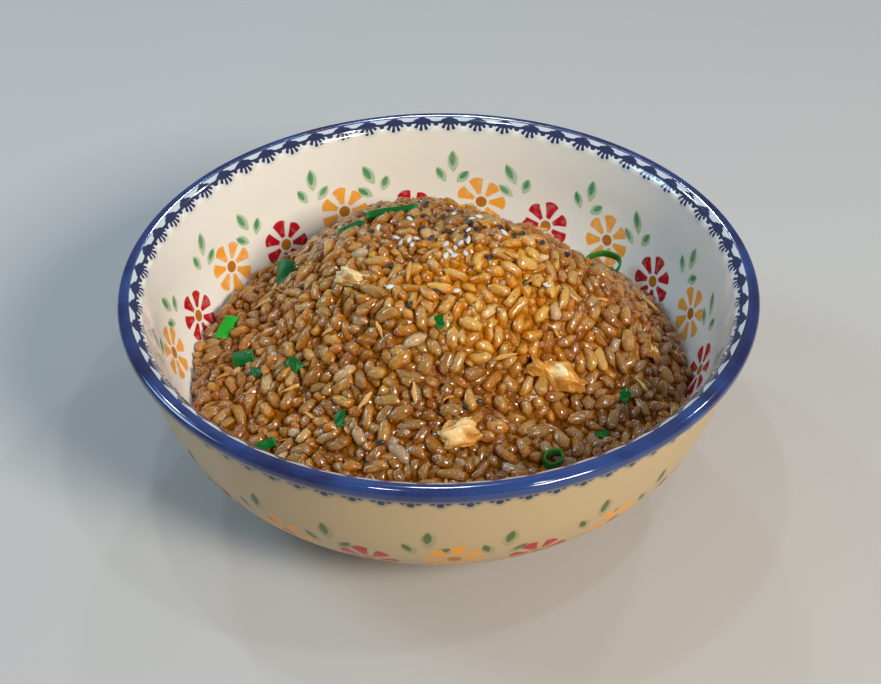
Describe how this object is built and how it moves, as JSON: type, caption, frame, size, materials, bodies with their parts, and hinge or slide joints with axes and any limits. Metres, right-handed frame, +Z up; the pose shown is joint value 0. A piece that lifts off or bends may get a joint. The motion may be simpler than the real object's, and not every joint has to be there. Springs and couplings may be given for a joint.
{
  "type": "fried rice bowl",
  "caption": "Deep glazed ceramic bowl with a stamped flower pattern, heaped with fried rice, egg, scallion and sesame.",
  "frame": {"origin": "middle of the foot ring's underside, on the surface the bowl stands on", "axes": "+Z up along the bowl's axis, -Y towards the viewer of the picture, +X to the viewer's right"},
  "size_m": [0.2, 0.2, 0.0779],
  "materials": {
    "glazed_bowl": "glossy clear glaze over cream stoneware, stamped blue, red, orange and green",
    "fried_rice": "oily brown cooked rice grains",
    "scallion": "moist green leaf",
    "egg": "soft fried egg with browned edges"
  },
  "bodies": {
    "root": {"bowl": "glazed_bowl", "rice": "fried_rice", "scallion_crest_long": "scallion", "scallion_crest_short": "scallion", "scallion_left_back": "scallion", "scallion_left_bright": "scallion", "scallion_left_square": "scallion", "scallion_left_small": "scallion", "scallion_left_fold": "scallion", "scallion_centre_bit": "scallion", "scallion_front_bit": "scallion", "scallion_front_left": "scallion", "scallion_right_dark": "scallion", "scallion_right_square": "scallion", "scallion_ring_back": "scallion", "scallion_ring_front": "scallion", "egg_lump_crest": "egg", "egg_lump_front": "egg", "egg_sheet_right": "egg", "egg_sheet_edge": "egg"}
  },
  "joints": []
}
